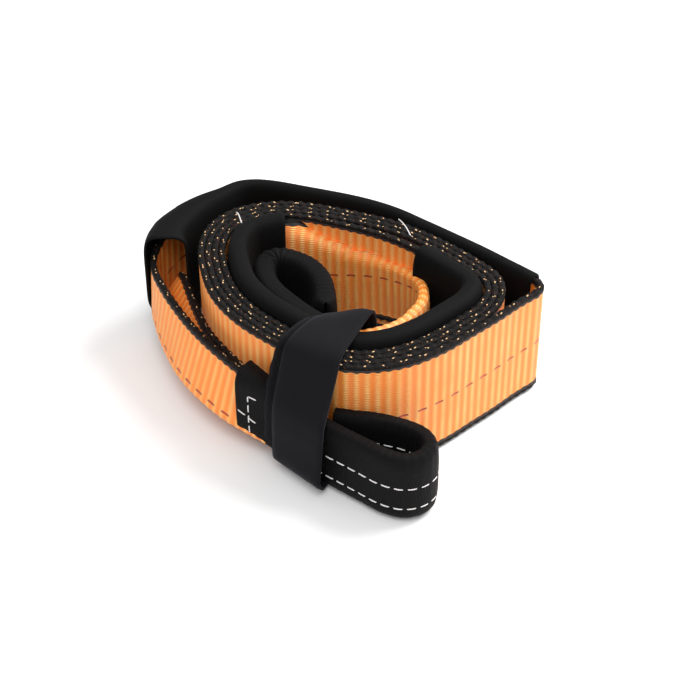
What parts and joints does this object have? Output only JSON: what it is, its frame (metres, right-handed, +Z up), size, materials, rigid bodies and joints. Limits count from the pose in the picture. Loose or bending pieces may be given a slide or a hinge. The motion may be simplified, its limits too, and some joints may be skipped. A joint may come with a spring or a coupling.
{
  "type": "tree saver strap",
  "caption": "Wide polyester webbing strap stood on edge and rolled into an oval coil, sleeved eyes and wear sleeves, held by a hook and loop tie.",
  "frame": {"origin": "on the floor, under the middle of the outline of the rolled strap", "axes": "+Z up along the axis of the coil, -Y towards the outer eye and the tie"},
  "size_m": [0.25, 0.252, 0.0874],
  "materials": {
    "webbing": "ribbed woven polyester, black selvages",
    "eye_sleeve": "plain woven nylon, slightly glossy",
    "wear_sleeve": "smooth matte knit-faced neoprene",
    "tie": "hook and loop tape, smooth outside"
  },
  "bodies": {
    "root": {"webbing_strap": "webbing", "outer_eye_sleeve": "eye_sleeve", "inner_eye_sleeve": "eye_sleeve", "outer_wear_sleeve": "wear_sleeve", "inner_wear_sleeve": "wear_sleeve", "hook_and_loop_tie": "tie"}
  },
  "joints": []
}
